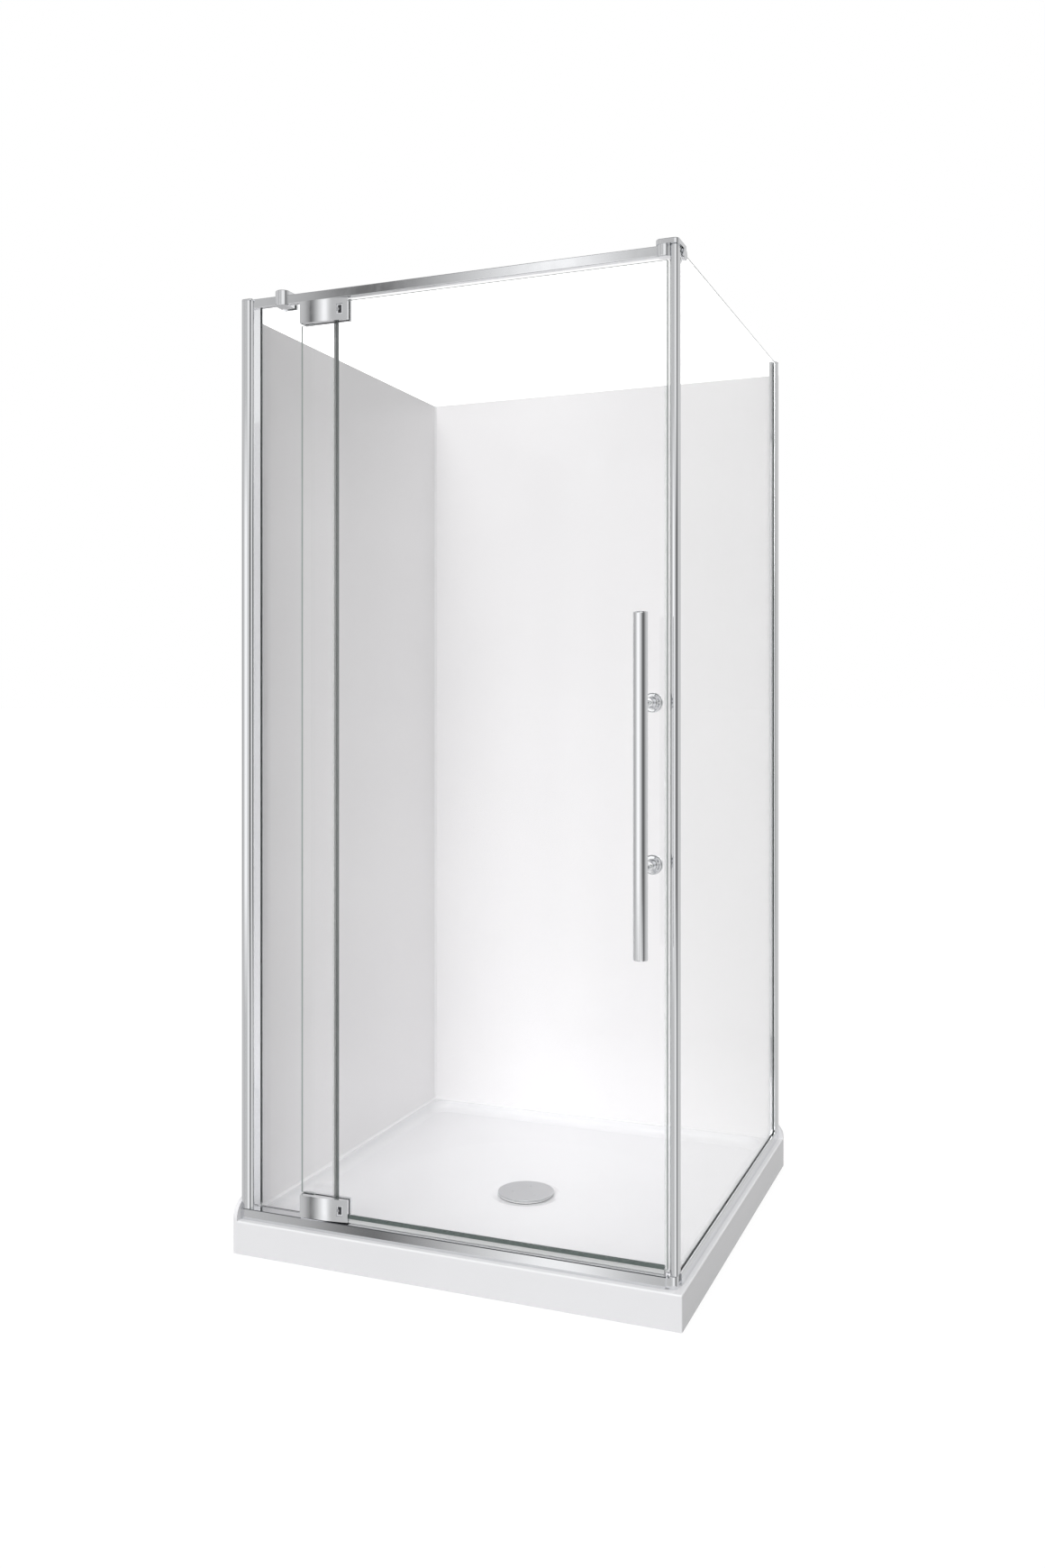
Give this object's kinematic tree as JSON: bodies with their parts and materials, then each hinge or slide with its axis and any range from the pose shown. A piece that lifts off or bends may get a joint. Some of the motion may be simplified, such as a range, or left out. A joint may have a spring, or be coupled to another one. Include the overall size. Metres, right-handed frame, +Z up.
{
  "type": "pivot door shower enclosure",
  "caption": "Square corner shower enclosure: white tray with waste, two wall liners, fixed infill and return glass, header bar and an outward-opening pivot glass door.",
  "frame": {"origin": "axis of the waste at floor level, the middle of the bounding box's lower face", "axes": "+X along the front from the left wall to the return glass, +Y from the door to the back wall, +Z up"},
  "size_m": [0.9, 0.968, 1.872],
  "materials": {
    "tray_acrylic": "glossy moulded white",
    "foam": "bead foam",
    "liner_acrylic": "polished sheet",
    "sealant": "smooth white silicone",
    "bright_aluminium": "bright polished",
    "chrome": "bright chrome",
    "satin_metal": "satin",
    "steel": "machined",
    "glass": "clear toughened, polished edges",
    "clear_pvc": "clear flexible",
    "magnet": "matte",
    "nylon": "natural",
    "waste_plastic": "moulded white",
    "rubber": "black"
  },
  "bodies": {
    "root": {"back_wall_panel": "liner_acrylic", "bottom_pivot_bush": "nylon", "bottom_thrust_washer": "nylon", "corner_clamp": "chrome", "corner_clamp_pads": "clear_pvc", "corner_clamp_screw": "steel", "corner_post": "chrome", "front_adjuster_profile": "bright_aluminium", "front_profile_cap": "chrome", "front_sill": "bright_aluminium", "front_wall_profile": "bright_aluminium", "header_bar": "chrome", "header_wall_socket": "chrome", "infill_clamp": "chrome", "infill_clamp_pads": "clear_pvc", "infill_clamp_screw": "steel", "infill_edge_seal": "clear_pvc", "infill_gaskets": "clear_pvc", "infill_glass": "glass", "infill_shoe": "bright_aluminium", "left_wall_panel": "liner_acrylic", "panel_sealant": "sealant", "profile_screws": "steel", "rear_channel_cap": "chrome", "rear_wall_channel": "bright_aluminium", "return_edge_profile": "bright_aluminium", "return_gaskets": "clear_pvc", "return_glass": "glass", "return_magnet_strip": "magnet", "return_profile_cap": "chrome", "shower_tray": "tray_acrylic", "side_sill": "bright_aluminium", "top_pivot_bush": "nylon", "top_thrust_washer": "nylon", "tray_foam_base": "foam", "waste_body": "waste_plastic", "waste_lock_nut": "waste_plastic", "waste_seal_washer": "rubber"},
    "door": {"door_glass": "glass", "top_hinge_block": "chrome", "bottom_hinge_block": "chrome", "top_hinge_back_plate": "chrome", "bottom_hinge_back_plate": "chrome", "hinge_pads": "clear_pvc", "top_pivot_pin": "steel", "bottom_pivot_pin": "steel", "top_hinge_adjuster": "chrome", "bottom_hinge_adjuster": "chrome", "hinge_screws": "steel", "handle_tube": "chrome", "handle_end_caps": "chrome", "handle_posts": "chrome", "handle_washers": "clear_pvc", "handle_inner_buttons": "chrome", "door_edge_seal": "clear_pvc", "door_magnet_strip": "magnet", "door_bottom_seal": "clear_pvc"},
    "waste_plug": {"waste_cover": "satin_metal", "waste_hair_cup": "waste_plastic"}
  },
  "joints": [
    {"name": "door_pivot", "type": "hinge", "parent": "root", "child": "door", "pos_m": [-0.296, -0.388, 0.965], "axis": [0, 0, -1], "range_deg": [0, 90]},
    {"name": "waste_lift", "type": "slide", "parent": "root", "child": "waste_plug", "axis": [0, 0, 1], "range_m": [0, 0.08]}
  ]
}
